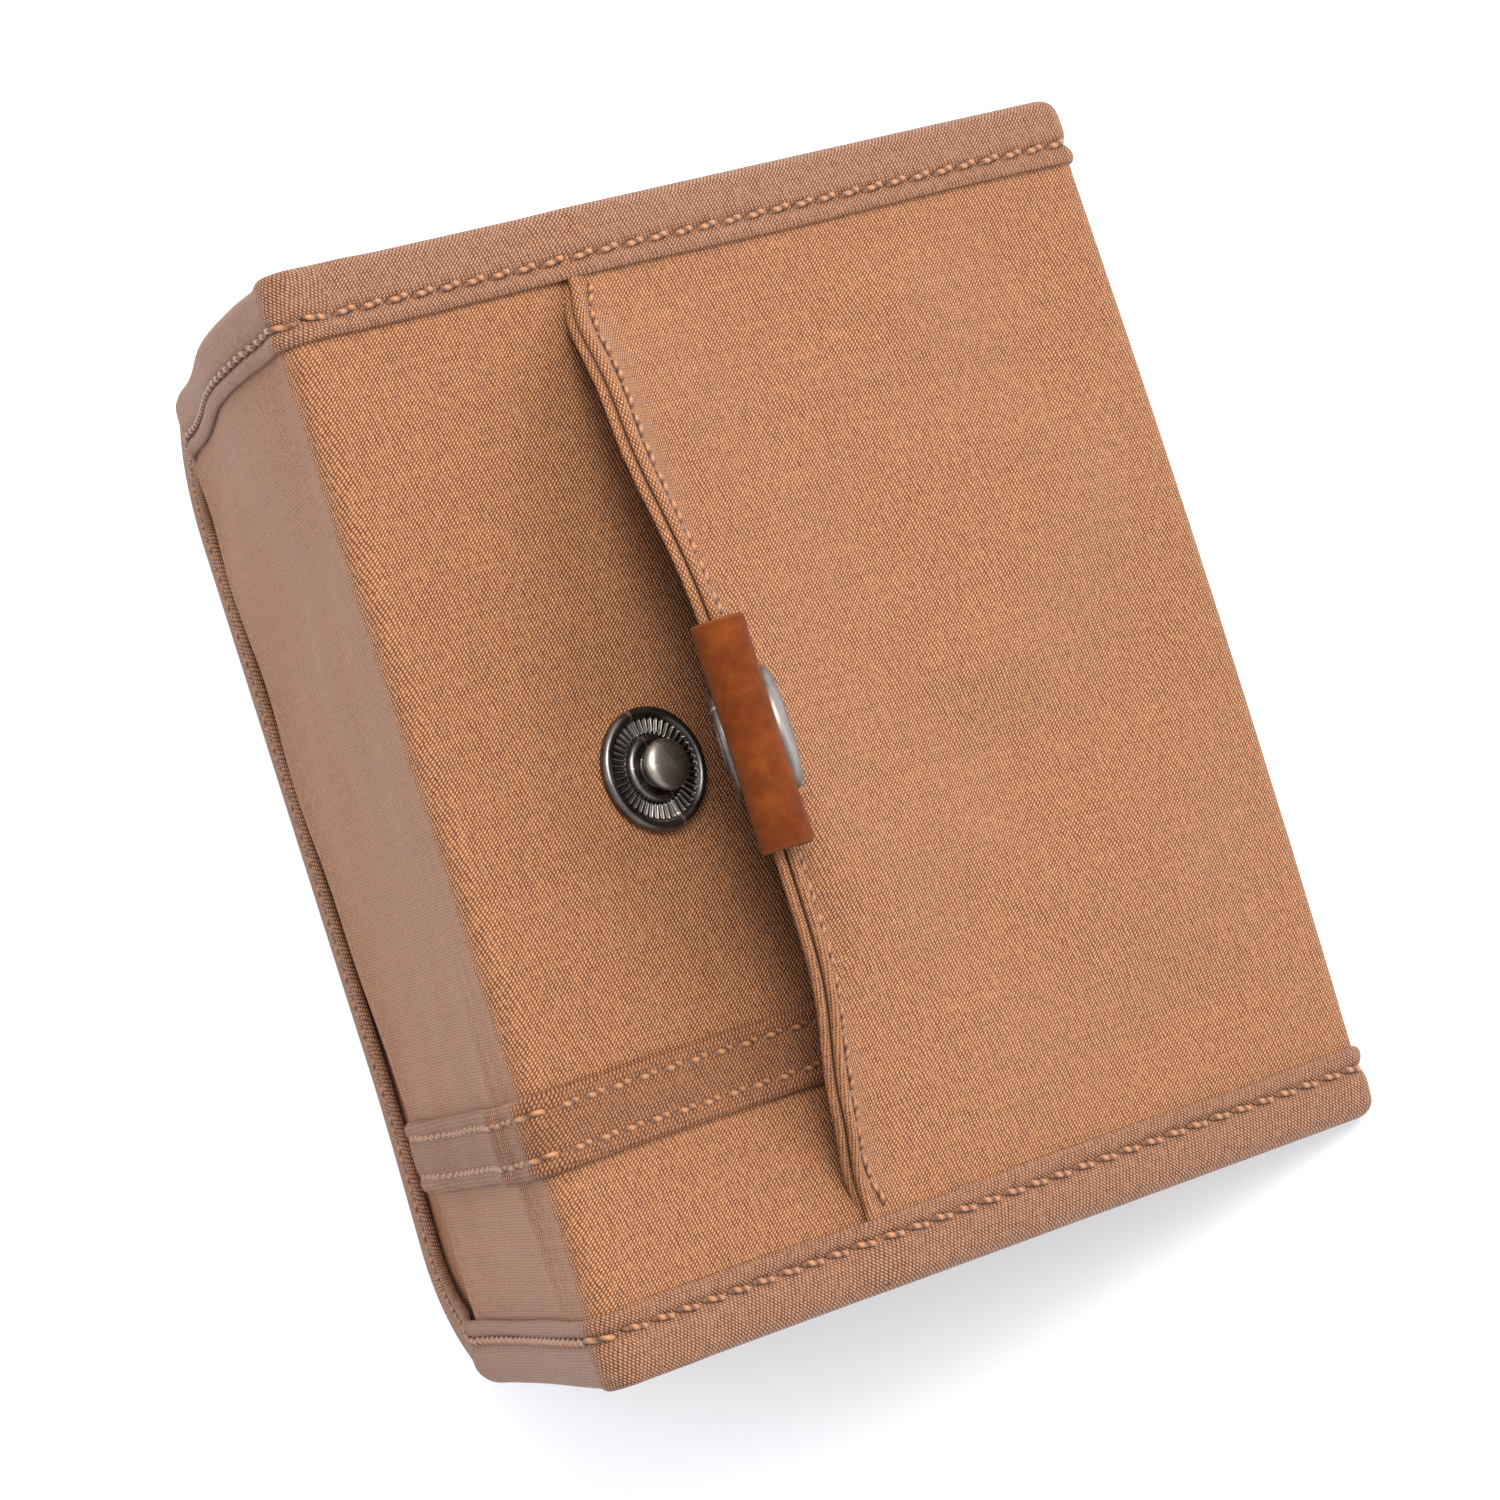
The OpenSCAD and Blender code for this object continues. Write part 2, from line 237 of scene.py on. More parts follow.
def over_ridge(obj):
    """Bakes the transform of a piece between the left half and the spine."""
    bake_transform(obj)


def over_crease(obj):
    """Bakes the transform of a piece between the spine and the right half."""
    tuple(place(SPINE - 2, 0, 0))
    tuple(place(SPINE + 2, 0, 0))
    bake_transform(obj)


def over_lip(obj):
    """Bakes the transform of a piece between the right half and the pocket's lip."""
    tuple(place(LIP_U + 4.5, 0, LIP_W - 1.0))
    tuple(place(LIP_U - 3.0, 0, LIP_W + 3.5))
    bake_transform(obj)


# ---- materials
class Nodes:
    """Short calls for building a node tree."""

    def __init__(self, name):
        self.material = bpy.data.materials.new(name)
        self.material.use_nodes = True
        self.tree = self.material.node_tree
        self.shader = self.tree.nodes["Principled BSDF"]
        self.where = self.new("ShaderNodeTexCoord").outputs["Object"]

    def new(self, kind, **inputs):
        """A node, with its sockets or settings given by name."""
        node = self.tree.nodes.new(kind)
        for key, value in inputs.items():
            if key in node.inputs.keys():
                self.put(node.inputs[key], value)
            else:
                setattr(node, key, value)
        return node

    def put(self, socket, value):
        if isinstance(value, bpy.types.NodeSocket):
            self.tree.links.new(value, socket)
        else:
            socket.default_value = value

    def shade(self, **values):
        """Sets the shader's sockets, named with _ for a space."""
        for key, value in values.items():
            self.put(self.shader.inputs[key.replace("_", " ")], value)

    def math(self, operation, a, b=0.0, clamp=False):
        node = self.new("ShaderNodeMath", operation=operation, use_clamp=clamp)
        self.put(node.inputs[0], a)
        self.put(node.inputs[1], b)
        return node.outputs[0]

    def past(self, value, level, gain, clamp=True):
        """How far a value is past a level, times a gain."""
        return self.math("MULTIPLY", self.math("SUBTRACT", value, level), gain, clamp)

    def scaled(self, value, gain, offset, clamp=False):
        return self.math("ADD", self.math("MULTIPLY", value, gain), offset, clamp)

    def wave(self, x):
        """From 0 to 1 and back over each whole step of x, highest at whole numbers."""
        return self.scaled(self.math("COSINE", self.math("MULTIPLY", x, math.tau)), 0.5, 0.5, clamp=True)

    def mix(self, factor, a, b, blend="MIX"):
        node = self.new("ShaderNodeMix", data_type="RGBA", blend_type=blend)
        self.put(node.inputs[0], factor)
        self.put(node.inputs[6], a)
        self.put(node.inputs[7], b)
        return node.outputs[2]

    def ramp(self, factor, *stops):
        node = self.tree.nodes.new("ShaderNodeValToRGB")
        self.put(node.inputs[0], factor)
        ends = node.color_ramp.elements
        while len(ends) < len(stops):
            ends.new(0.5)
        for end, (position, colour) in zip(ends, stops):
            end.position = position
            end.color = colour
        return node.outputs[0]

    def noise(self, vector, scale, detail=3.0, rough=0.55):
        node = self.new("ShaderNodeTexNoise", Vector=vector, Scale=scale, Detail=detail, Roughness=rough)
        return node.outputs["Fac"]

    def weave_uv(self):
        return self.new("ShaderNodeUVMap", uv_map="weave").outputs[0]

    def pointiness(self):
        return self.new("ShaderNodeNewGeometry").outputs["Pointiness"]

    def bump(self, height, strength, distance, below=None):
        node = self.new("ShaderNodeBump", Strength=strength, Distance=distance, Height=height)
        if below is not None:
            self.put(node.inputs["Normal"], below)
        return node.outputs[0]


def rgb(r, g, b):
    """A colour from 8-bit screen values."""
    def linear(c):
        c /= 255
        return c / 12.92 if c <= 0.04045 else ((c + 0.055) / 1.055) ** 2.4
    return (linear(r), linear(g), linear(b), 1.0)


def weave(k, uv, grain, row):
    """Height of a twill of short leaning grains, each row a little behind the last, and a shade per row."""
    cells = k.new("ShaderNodeMapping", Vector=uv, Scale=(MM / grain, MM / row, 1)).outputs[0]
    wander = k.past(k.noise(k.where, 160.0, 2.0), 0.5, 0.9, clamp=False)
    uneven = k.past(k.noise(k.where, 1100.0, 1.0), 0.5, 0.7, clamp=False)
    wander = k.math("ADD", wander, uneven)
    parts = k.new("ShaderNodeSeparateXYZ", Vector=cells)
    y = k.math("ADD", parts.outputs[1], wander)
    x = k.math("ADD", k.math("ADD", parts.outputs[0], wander), k.math("MULTIPLY", y, 0.2))
    local = k.math("SUBTRACT", k.math("FRACT", x), 0.5)
    leaning = k.math("SUBTRACT", y, k.math("MULTIPLY", local, 0.95))
    height = k.math("MULTIPLY", k.math("POWER", k.wave(local), 0.7), k.math("POWER", k.wave(leaning), 0.85))
    shade = k.new("ShaderNodeTexWhiteNoise", noise_dimensions="1D", W=k.math("FLOOR", y))
    return height, shade.outputs["Value"]


def cloth_material(name, dark, light, grain=0.42, row=0.28, sheen=0.06):
    """Woven cloth: yarns with painted shade in the gaps between them and painted highlight on their crests, uneven
    fibre, faint cloudy patches of painted shade for soft folds, and fuzz that lightens grazing faces.
    """
    k = Nodes(name)
    uv = k.weave_uv()
    height, shade = weave(k, uv, grain, row)
    streaks = k.new("ShaderNodeMapping", Vector=uv, Scale=(MM / 0.8, MM / 5.0, 1)).outputs[0]
    slub = k.past(k.noise(streaks, 1.0, 3.0), 0.5, 0.12, clamp=False)
    fibre = k.math("ADD", k.past(k.noise(k.where, 1900.0, 2.0), 0.5, 0.5, clamp=False), slub)
    # The twill's height sets the tone: painted shade in the gaps between yarns, painted highlight on their crests.
    tone = k.math("ADD", k.math("ADD", height, fibre), k.math("MULTIPLY", shade, 0.04), clamp=True)
    # Cloudy patches, also a faint bump, darken the cloth: painted shade of soft folds.
    patch = k.noise(k.where, 38.0, 4.0, 0.6)
    fold_shade_tint = (0.86, 0.82, 0.78, 1)
    colour = k.mix(k.past(patch, 0.4, 0.5), k.ramp(tone, (0.0, dark), (0.75, light)), fold_shade_tint, "MULTIPLY")
    k.shade(Base_Color=colour, Roughness=k.scaled(height, -0.12, 0.74), Specular_IOR_Level=0.35,
            Sheen_Weight=sheen, Sheen_Roughness=0.38, Sheen_Tint=(0.98, 0.82, 0.76, 1),
            Normal=k.bump(height, 0.8, 0.00014, k.bump(patch, 0.12, 0.0006)))
    return k.material


def leather_material(name):
    """Nubuck: a mottled tone, paler edges and a fine nap."""
    k = Nodes(name)
    nap = k.noise(k.where, 1500.0, 4.0, 0.7)
    mottle = k.noise(k.where, 620.0, 4.0, 0.65)
    cloud = k.noise(k.where, 70.0, 3.0)
    mixed = k.scaled(mottle, 0.6, k.math("MULTIPLY", cloud, 0.4))
    base = k.ramp(mixed, (0.32, rgb(70, 26, 3)), (0.5, rgb(90, 38, 5)), (0.68, rgb(108, 52, 11)))
    base = k.mix(k.past(k.pointiness(), 0.52, 6.0), base, rgb(160, 100, 56))
    base = k.mix(k.past(nap, 0.4, 0.5), base, rgb(74, 32, 8))
    k.shade(Base_Color=base, Roughness=k.scaled(nap, 0.12, 0.78), Specular_IOR_Level=0.12,
            Sheen_Weight=0.05, Sheen_Roughness=0.5, Sheen_Tint=(1.0, 0.66, 0.4, 1),
            Normal=k.bump(nap, 0.5, 0.00008, k.bump(mottle, 0.3, 0.0002)))
    return k.material


def metal_material(name, dark, light, rough):
    """Aged metal: smudged, brighter on its edges and dark in its hollows."""
    k = Nodes(name)
    smudge = k.noise(k.where, 420.0, 4.0, 0.65)
    scratch = k.noise(k.where, 2600.0, 2.0, 0.7)
    point = k.pointiness()
    tone = k.ramp(smudge, (0.3, dark), (0.7, light))
    tone = k.mix(k.past(point, 0.5, 5.0), tone, rgb(190, 184, 176))
    tone = k.mix(k.past(0.495, point, 14.0), tone, rgb(22, 20, 19))
    k.shade(Base_Color=tone, Metallic=1.0, Roughness=k.scaled(smudge, 0.18, rough),
            Normal=k.bump(scratch, 0.12, 0.00003))
    return k.material


def thread_material(name, dark, light):
    """Twisted thread, with painted shade at both ends of a stitch, where it goes into the cloth."""
    k = Nodes(name)
    parts = k.new("ShaderNodeSeparateXYZ", Vector=k.weave_uv())
    along, around = parts.outputs[0], parts.outputs[1]
    twist = k.scaled(along, math.tau * 2.5, k.math("MULTIPLY", around, math.tau))
    ply = k.scaled(k.math("SINE", twist), 0.5, 0.5)
    fluff = k.noise(k.where, 3000.0, 3.0)
    tone = k.scaled(ply, 0.6, k.math("MULTIPLY", fluff, 0.4))
    from_middle = k.math("ABSOLUTE", k.math("SUBTRACT", along, 0.5))
    # Both ends of each stitch are painted dark: painted shade at the holes.
    colour = k.mix(k.past(from_middle, 0.36, 7.0), k.ramp(tone, (0.15, dark), (0.8, light)), rgb(34, 14, 5))
    k.shade(Base_Color=colour, Roughness=k.scaled(fluff, 0.2, 0.5), Sheen_Weight=0.08,
            Normal=k.bump(ply, 0.7, 0.00006))
    return k.material


def board_material(name):
    k = Nodes(name)
    pulp = k.noise(k.where, 600.0, 4.0)
    k.shade(Base_Color=k.ramp(pulp, (0.3, rgb(58, 56, 54)), (0.7, rgb(84, 81, 78))),
            Roughness=k.scaled(pulp, 0.2, 0.6), Normal=k.bump(pulp, 0.3, 0.0001))
    return k.material


TWILL = cloth_material("tan_twill", rgb(76, 36, 15), rgb(186, 129, 85))
TAPE = cloth_material("binding_twill", rgb(68, 36, 19), rgb(170, 120, 88), sheen=0.09)
STRAP = cloth_material("strap_twill", rgb(62, 28, 11), rgb(162, 107, 67))
LINING = cloth_material("lining_cloth", rgb(74, 48, 33), rgb(138, 99, 72), 0.36, 0.30)
LEATHER = leather_material("brown_nubuck")
METAL = metal_material("antique_gunmetal", rgb(70, 65, 62), rgb(112, 106, 101), 0.26)
KNOB_METAL = metal_material("worn_gunmetal", rgb(120, 113, 106), rgb(168, 160, 150), 0.30)
CAP_METAL = metal_material("cap_gunmetal", rgb(104, 97, 96), rgb(132, 124, 122), 0.38)
THREAD = thread_material("tonal_thread", rgb(66, 32, 15), rgb(160, 108, 69))
BOARD = board_material("stiffener_board")


# ---- height of each layer
SHELL = 0.95  # outer face of the shell cloth
BASE_TOP = -0.25  # outer face of the left half's base panel


def shell_height(s, v):
    """Outer face of the shell cloth: nearly flat, with soft ripples and a few creases by the ridge."""
    free = smooth(RIM - np.abs(v), 0, 9)
    height = SHELL + 0.16 * ripple(s, v, 12, 3) * free
    height = height + 0.34 * ripple(s, v, 12, 5) * free * smooth(-s, 2, 14)
    creases = 0.60 * bell(s, -7.0, 1.2) - 0.40 * bell(s, -9.6, 1.1) + 0.42 * bell(s, -12.6, 1.6)
    height = height + creases * bell(v, STRAP_MID - 3, 15) * smooth(-s, 3, 6)
    dent = -0.35 * bell(np.hypot(s - STUD_U, v), 7.5, 2.5)
    return height + dent * smooth(s, SEAM, SEAM + 6)


def bulge_height(u, v):
    """How far the pocket front stands above its flat level."""
    rise = front_high[2] - roll_high[2]
    crest = rise * np.clip(1 - (u - LIP_U) / (ROLL_U - LIP_U), 0, 1)
    dome = np.clip(1 - (v / (RIM - 2.5)) ** 2, 0, None)
    pull = (v + 4 + 0.5 * (u - LIP_U)) / 7.5
    folds = 0.75 * np.exp(-pull ** 2) - 0.55 * np.exp(-(pull - 1.7) ** 2) - 0.45 * np.exp(-(pull + 1.9) ** 2)
    folds = 2.2 * folds * bell(u, LIP_U + 26, 26) + 1.15 * ripple(u, v, 13, 11) + 0.25 * ripple(u, v, 6, 12)
    return crest * dome + folds * smooth(RIM - np.abs(v), 0, 9) * smooth(ROLL_U - u, 0, 12)


# ---- flat cloth
def cloth(name, s_values, height, material=TWILL, thickness=0.6, facing=1, shift=None):
    """A sheet across the whole fold; height(s, v) is its outer face, or its inner one if facing is -1."""
    s, v = np.meshgrid(s_values, across(), indexing="ij")
    if shift:
        s = shift(s, v)
    v = v * round_end(-s) / EDGE
    points = place(s, v, height(s, v))
    middle = v.shape[1] // 2
    s = s + ridge_extra(points[:, middle], s[:, middle])[:, None]
    obj = grid_object(name, points[:, ::facing], weave_grid(s, v)[:, ::facing])
    return dress(obj, material, thickness)


def ridge_extra(points, s):
    """How much longer the cloth is than s at each step, as it turns the ridge; zero at the seam."""
    lengths = np.linalg.norm(np.diff(points, axis=0), axis=1) * MM
    extra = running(lengths - np.diff(s))
    return extra - extra[np.argmin(np.abs(s - SEAM))]


def round_end(s):
    """Half the wallet's width at a distance s into the left half, inside its rounded corners."""
    past = np.clip(s - (LEFT_END - CORNER_R), 0, CORNER_R)
    return EDGE - CORNER_R + np.sqrt(CORNER_R ** 2 - past ** 2)


def slip_mouth(v):
    """Depth of the slip pocket's mouth, which drifts back from the free end towards the bottom."""
    return SLIP_MOUTH - 7.0 * smooth(-v, -10, 48)


STRAP_END = -float(slip_mouth(STRAP_MID))
STRAP_ROW = 1.35  # from the strap's edge to its row of stitches


def follow_mouth(s, v):
    """Moves the last rows of the shell, so that it ends on the slip pocket's mouth."""
    share = np.clip((-s - 45) / (SLIP_MOUTH - 45), 0, 1)
    return s + share * (SLIP_MOUTH - slip_mouth(v))


def steps(a, b, pitch):
    return np.linspace(a, b, max(2, int(round(abs(b - a) / pitch)) + 1))


def across():
    """Steps along the fold, from edge to edge under the tapes."""
    return steps(-EDGE + 0.6, EDGE - 0.6, 1.4)


def ridge_steps(a, b, pitch=1.5):
    """Steps along the wallet, closer together where the cloth turns the ridge."""
    inner = steps(max(a, -4), min(b, 4), 0.35)
    before = steps(a, -4, pitch)[:-1] if a < -4 else []
    after = steps(4, b, pitch)[1:] if b > 4 else []
    return np.concatenate([before, inner, after])


def slip_panel_height(s, v):
    """The shell on the left half, thickened along the folded mouth of the slip pocket."""
    from_mouth = slip_mouth(v) + s
    return shell_height(s, v) + 0.35 * bell(from_mouth, 1.2, 1.6) - 0.5 * bell(from_mouth, -0.2, 0.7)


def make_shell():
    left = cloth("shell_left", ridge_steps(-SLIP_MOUTH, SEAM), slip_panel_height, thickness=0.75,
                 shift=follow_mouth)
    over_ridge(left)
    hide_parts("left_pocket_panel", "spine_outer_panel")
    right = cloth("shell_right", steps(SEAM, ROLL_U - 0.5, 1.5), shell_height, thickness=0.75)
    over_crease(right)
    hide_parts("right_outer_panel")


PAST_RIDGE = 7.0  # depth where the cloth's steps can widen


def rounded_sheet(name, start, inset, height, material, thickness, facing):
    """A sheet of the left half with the free end's rounded corners; start is negative on the spine."""
    near = steps(start, PAST_RIDGE, 0.35)[:-1] if start < 0 else []
    body = steps(PAST_RIDGE if start < 0 else start, LEFT_END - CORNER_R, 1.6)[:-1]
    end = LEFT_END - CORNER_R + (CORNER_R - inset) * np.sin(np.linspace(0, math.pi / 2, 14))
    depth, share = np.meshgrid(np.concatenate([near, body, end]), np.linspace(-1, 1, 60), indexing="ij")
    v = share * (round_end(depth + inset * 0.9) - inset)
    points = place(-depth, v, height(-depth, v))
    obj = grid_object(name, points[:, ::-facing], weave_grid(-depth, v)[:, ::-facing])
    return dress(obj, material, thickness)


def make_left_inside():
    board = rounded_sheet("board_left", 5.4, 2.0, lambda s, v: -0.92 + 0 * s, BOARD, 0.5, 1)
    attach(board, "left_half")
    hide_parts("left_stiffener")

    def base_height(s, v):
        return BASE_TOP + 0.6 * smooth(-s, SLIP_MOUTH - 4, LEFT_END) + 0.08 * ripple(s, v, 18, 21)
    base = rounded_sheet("base_cloth_left", 40, 0.9, base_height, TWILL, 0.6, 1)
    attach(base, "left_half")
    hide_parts("left_base_panel")

    def lining_height(s, v):
        return -0.85 - (1.15 - 0.1 * ripple(s, v, 20, 31)) * smooth(-s, 1.5, 5)
    lining = rounded_sheet("lining_left", -1.8, 0.9, lining_height, LINING, 0.5, -1)
    over_ridge(lining)
    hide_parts("left_lining")

    def card_height(s, v):
        return INNER_BOTTOM + 0.08 * ripple(s, v, 22, 41) - 0.25 * bell(-s - card_low[0], 1.2, 1.5)
    card = rounded_sheet("card_pocket_cloth", card_low[0], 0.9, card_height, TWILL, 0.5, -1)
    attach(card, "left_half")
    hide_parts("left_card_pocket")


def make_right_inside():
    lining = cloth("lining_right", steps(9.5, ROLL_U - 1, 2.0),
                   lambda s, v: -1.6 + 0.08 * ripple(s, v, 20, 51), LINING, 0.5, -1)
    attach(lining, "right_half")
    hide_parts("right_lining")

    def inner_height(s, v):
        return INNER_BOTTOM + 0.14 * ripple(s, v, 24, 61) - 0.25 * bell(s - inner_low[0], 1.2, 1.5)
    inner = cloth("inner_pocket_cloth", steps(inner_low[0], ROLL_U, 1.5), inner_height, facing=-1)
    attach(inner, "right_half")
    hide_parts("right_inner_pocket")

    def spine_height(s, v):
        return -0.85 - 0.75 * smooth(s, SPINE - 1, SPINE + 1.2)
    spine_lining = cloth("lining_spine", steps(1.6, SPINE + 1.2, 0.4), spine_height,
                         LINING, 0.4, -1)
    over_crease(spine_lining)
    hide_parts("spine_lining")


# ---- pocket front and its lip
MOUTH_R = 73.0  # radius of the curved mouth, laid flat
LIP_REACH = 15.3  # from the fold line to the mouth, at the middle
TURN = 5.0  # half the length over which the cloth turns up into the lip
BELOW_TAB = 12.57  # how soon the mouth straightens below the tab


def mouth_reach(v):
    """Distance from the fold line to the mouth's edge, laid flat: an arc above the tab, straighter below."""
    off = np.clip(np.abs(v), 0, RIM + 1.5)
    arc = MOUTH_R - np.sqrt(MOUTH_R ** 2 - off ** 2)
    straight = np.hypot(BELOW_TAB, 0.55 * off) - BELOW_TAB
    return np.maximum(LIP_REACH - np.where(v < 0, straight, arc), 1.6)


ROLL_D = LIP_U - ROLL_U  # where the pocket front meets the end roll


def lip_point(d, v, n):
    """Metres on the pocket cloth: d from the lip's fold line towards the mouth, n out from its outer face."""
    d, v, n = together(d, v, n)
    level = roll_high[2] + bulge_height(np.clip(LIP_U - d, LIP_U, ROLL_U), v)
    fade = 1 - np.clip(np.abs(v) / (RIM + 0.3), 0, 1) ** 3
    steeper = 0.18 * bell(v, -27, 10) + 0.8 * bell(v, -39, 5) + 0.2 * bell(v, 36, 6)
    angle = LIP_ANGLE * fade * (1 + steeper)
    foot = level * (1 - fade) + (LIP_W + 0.75) * fade
    turned = smooth(d, -TURN, TURN)
    u = LIP_U - d + turned * (0.8 * fade + d * (1 - np.cos(angle)))
    w = level + turned * (foot + d * np.sin(angle) - level)
    u = u + n * np.sin(angle * turned)
    w = w + n * np.cos(angle * turned)
    around = np.maximum(ROLL_D - d, 0) / ROLL_R
    u = np.where(around > 0, ROLL_U + (ROLL_R + n) * np.sin(around), u)
    bow = 0.8 * np.clip(1 - (v / RIM) ** 2, 0, 1) * smooth(LIP_U - d, ROLL_U - 16, ROLL_U)
    u = u + bow * np.cos(np.clip(around, 0, math.pi) / 2)
    w = np.where(around > 0, ROLL_W + (ROLL_R + n) * np.cos(around), w)
    return place(u, v, w)


def make_pocket_cloth():
    """Closed sheet: the outer face up to the mouth, two rolled edges, and the inner face back."""
    v = across()
    reach = mouth_reach(v)
    start = ROLL_D - math.pi * ROLL_R
    lengthwise = start + (reach - 0.55 - start) * np.linspace(0, 1, 112)[:, None]
    thick, hem = 0.75, 1.95
    rows, uvs = [], []

    def add(d, n, round_hem=0.0):
        closed = smooth(v[-1] - np.abs(v), 0, 0.8)
        rows.append(lip_point(d, v, -thick / 2 + (n + thick / 2) * closed))
        laid = reach - 0.5 + round_hem if round_hem else d
        uvs.append(weave_grid(LIP_U - laid, v))

    for d in lengthwise:
        seam = reach - d
        add(d, 0.10 * bell(seam, 0.9, 0.5) - 0.16 * bell(seam, 1.9, 0.35))
    for middle, before in ((-0.42, 0.0), (-1.46, 3.6)):
        for turn in (25, 55, 90, 125, 155):
            a = math.radians(turn)
            add(reach - 0.50 + 0.50 * math.sin(a), middle + 0.47 * math.cos(a), before + 0.48 * a)
        if middle > -1:
            for depth, n, laid in ((0.70, -0.88, 1.8), (1.40, -0.94, 2.5), (0.70, -1.00, 3.2)):
                add(reach - depth, n, laid)
    for d in lengthwise[::-1]:
        add(d, -(thick + (hem - thick) * smooth(reach - d, 5.5, 4.2)))
    rows.append(rows[0])
    uvs.append(uvs[0])
    obj = grid_object("pocket_cloth", np.array(rows)[::-1], np.array(uvs)[::-1], merge=0.02)
    dress(obj, TWILL)
    over_lip(obj)
    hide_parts("pocket_front_panel", "pocket_lip", "right_end_fold", "hem_piping")


# ---- binding tape
PUCKER = 0.20  # depth of the pull of each stitch
ROW = 1.8  # from the tape's rim to its row of stitches
TAPE_RIM = np.array([  # (inset past the rim, height above the tape's top)
    (-0.12, -0.62), (0.10, -0.36), (0.08, -0.02), (-0.22, 0.22), (-0.75, 0.30), (-1.30, 0.14),
    (-1.60, -0.12), (-1.80, -0.28), (-2.00, -0.12), (-2.40, 0.06), (-3.10, 0.10), (-3.90, 0.04)])
TAPE_EDGE = np.array([(2.1 * (1 - math.sin(a) ** 0.8), math.cos(a) ** 0.75)
                      for a in np.linspace(0, math.pi / 2, 10)[1:]])  # (inset, share of the height)


def tape_points(length, top, middle, sign, ends=1.0):
    """(inset, height) rows of the half section along the tape; sign -1 gives the inner face."""
    rim, drop = TAPE_W + TAPE_RIM[:, :1], TAPE_RIM[:, 1:]
    wave = ends * PUCKER * (0.5 + 0.5 * np.cos(length / STITCH * math.tau))
    rim_inset = rim + ends * 0.07 * np.sin(length / 7.3 + rim)
    rim_height = top + sign * (drop - wave * bell(rim, TAPE_W - ROW, 0.7))
    edge_inset = TAPE_EDGE[:, :1] + 0 * length
    edge_height = middle + (top - middle) * TAPE_EDGE[:, 1:]
    return np.concatenate([rim_inset, edge_inset]), np.concatenate([rim_height, edge_height])


def whole_tape(length, outer, inner, ends):
    """Inset and height rows all round the folded tape, and the distance round its section."""
    middle = (outer + inner) / 2
    top_inset, top_height = tape_points(length, outer, middle, 1, ends)
    low_inset, low_height = tape_points(length, inner, middle, -1, ends)
    inset = np.concatenate([top_inset, low_inset[::-1][1:]])
    height = np.concatenate([top_height, low_height[::-1][1:]])
    return inset, height, running(np.hypot(np.diff(inset[:, 0]), np.diff(height[:, 0])))


def right_tape_heights(s):
    """Outer and inner faces of the tape on the spine and the right half."""
    outer = 1.5 + (roll_high[2] + 0.55 - 1.5) * smooth(s, LIP_U - 5.0, LIP_U + 2.0)
    inner = -1.3 + (right_tape_low[2] + 1.3) * smooth(s, SPINE - 0.5, SPINE + 3.5)
    return outer, inner


def left_tape_heights(s):
    """The same on the left half and the spine, for s up to the seam; the tape drops past the slip mouth."""
    outer = 1.5 - 0.5 * smooth(-s, SLIP_MOUTH - 2.5, SLIP_MOUTH + 1.5)
    inner = -0.75 + (left_tape_low[2] + 0.75) * smooth(-s, 1.5, 6.5) - 0.55 * smooth(s, 1.5, 3.5)
    return outer, inner


def right_tape_end(name, side, s, outer, inner, around):
    """The turn of the tape round the right free end, from its outer face to its inner one."""
    middle = (outer + inner) / 2
    rim_inset, rim_height = tape_points(s, outer, middle, 1)
    turns = np.linspace(0, math.pi, 19)
    tall = rim_height - middle
    u = ROLL_U + 0.9 * tall * np.sin(turns)
    points = place(u, side * (EDGE - np.broadcast_to(rim_inset, u.shape)), middle + tall * np.cos(turns))
    uv = weave_grid(ROLL_U + turns * 2.4, around[:len(u), None])
    return grid_object(name + "_end", points[::-side], uv[::-side])


def make_right_tape(side, name, node, spine_node):
    """Tape along one edge of the right half, round its free end and back along the inside."""
    s = steps(SEAM, ROLL_U, 0.55)
    outer, inner = right_tape_heights(s)
    inset, height, around = whole_tape(s, outer, inner, smooth(s, SEAM, SEAM + 3))
    points = place(s, side * (EDGE - inset), height)
    body = grid_object(name, points[::-side], weave_grid(s, around[:, None])[::-side])
    join(body, right_tape_end(name, side, s[-1:], outer[-1:], inner[-1:], around))
    dress(body, TAPE, 0.4)
    over_crease(body)
    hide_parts(node, spine_node)


def join(first, other):
    """Joins a grid to the one it shares an edge with."""
    def add(bm):
        bm.from_mesh(other.data)
        weld(bm, 0.02)
    edit_mesh(first, add)
    bpy.data.objects.remove(other)


def left_outline():
    """Stations round the left half's edge: length, depth and v, and the inward direction's depth and v."""
    far, wide = LEFT_END - CORNER_R, EDGE - CORNER_R
    run = steps(-SEAM, far, 0.55)
    end = steps(wide, -wide, 0.8)[1:]
    corner = np.linspace(0, math.pi / 2, 34)[1:]
    inside = [together(*run_or_turn) for run_or_turn in (
        (run, wide, 0), (far, wide, corner), (far, end, math.pi / 2), (far, -wide, math.pi / 2 + corner),
        (run[-2::-1], -wide, math.pi))]
    depth, v, heading = np.concatenate(inside, axis=1)
    in_depth, in_v = -np.sin(heading), -np.cos(heading)
    depth, v = depth - CORNER_R * in_depth, v - CORNER_R * in_v
    return running(np.hypot(np.diff(depth), np.diff(v))), depth, v, in_depth, in_v


def make_left_tape():
    """Tape from the spine along the top, round the rounded free end, and back along the bottom."""
    length, depth, v, in_s, in_v = left_outline()
    ends = smooth(length, 0, 3) * smooth(length[-1] - length, 0, 3)
    inset, height, around = whole_tape(length, *left_tape_heights(-depth), ends)
    points = place(-(depth + in_s * inset), v + in_v * inset, height)
    run = running(np.linalg.norm(np.diff(points[11], axis=0), axis=1)) * MM
    obj = grid_object("tape_left", points, weave_grid(run, around[:, None]))
    dress(obj, TAPE, 0.4)
    over_ridge(obj)
    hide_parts("left_binding", "left_end_binding")


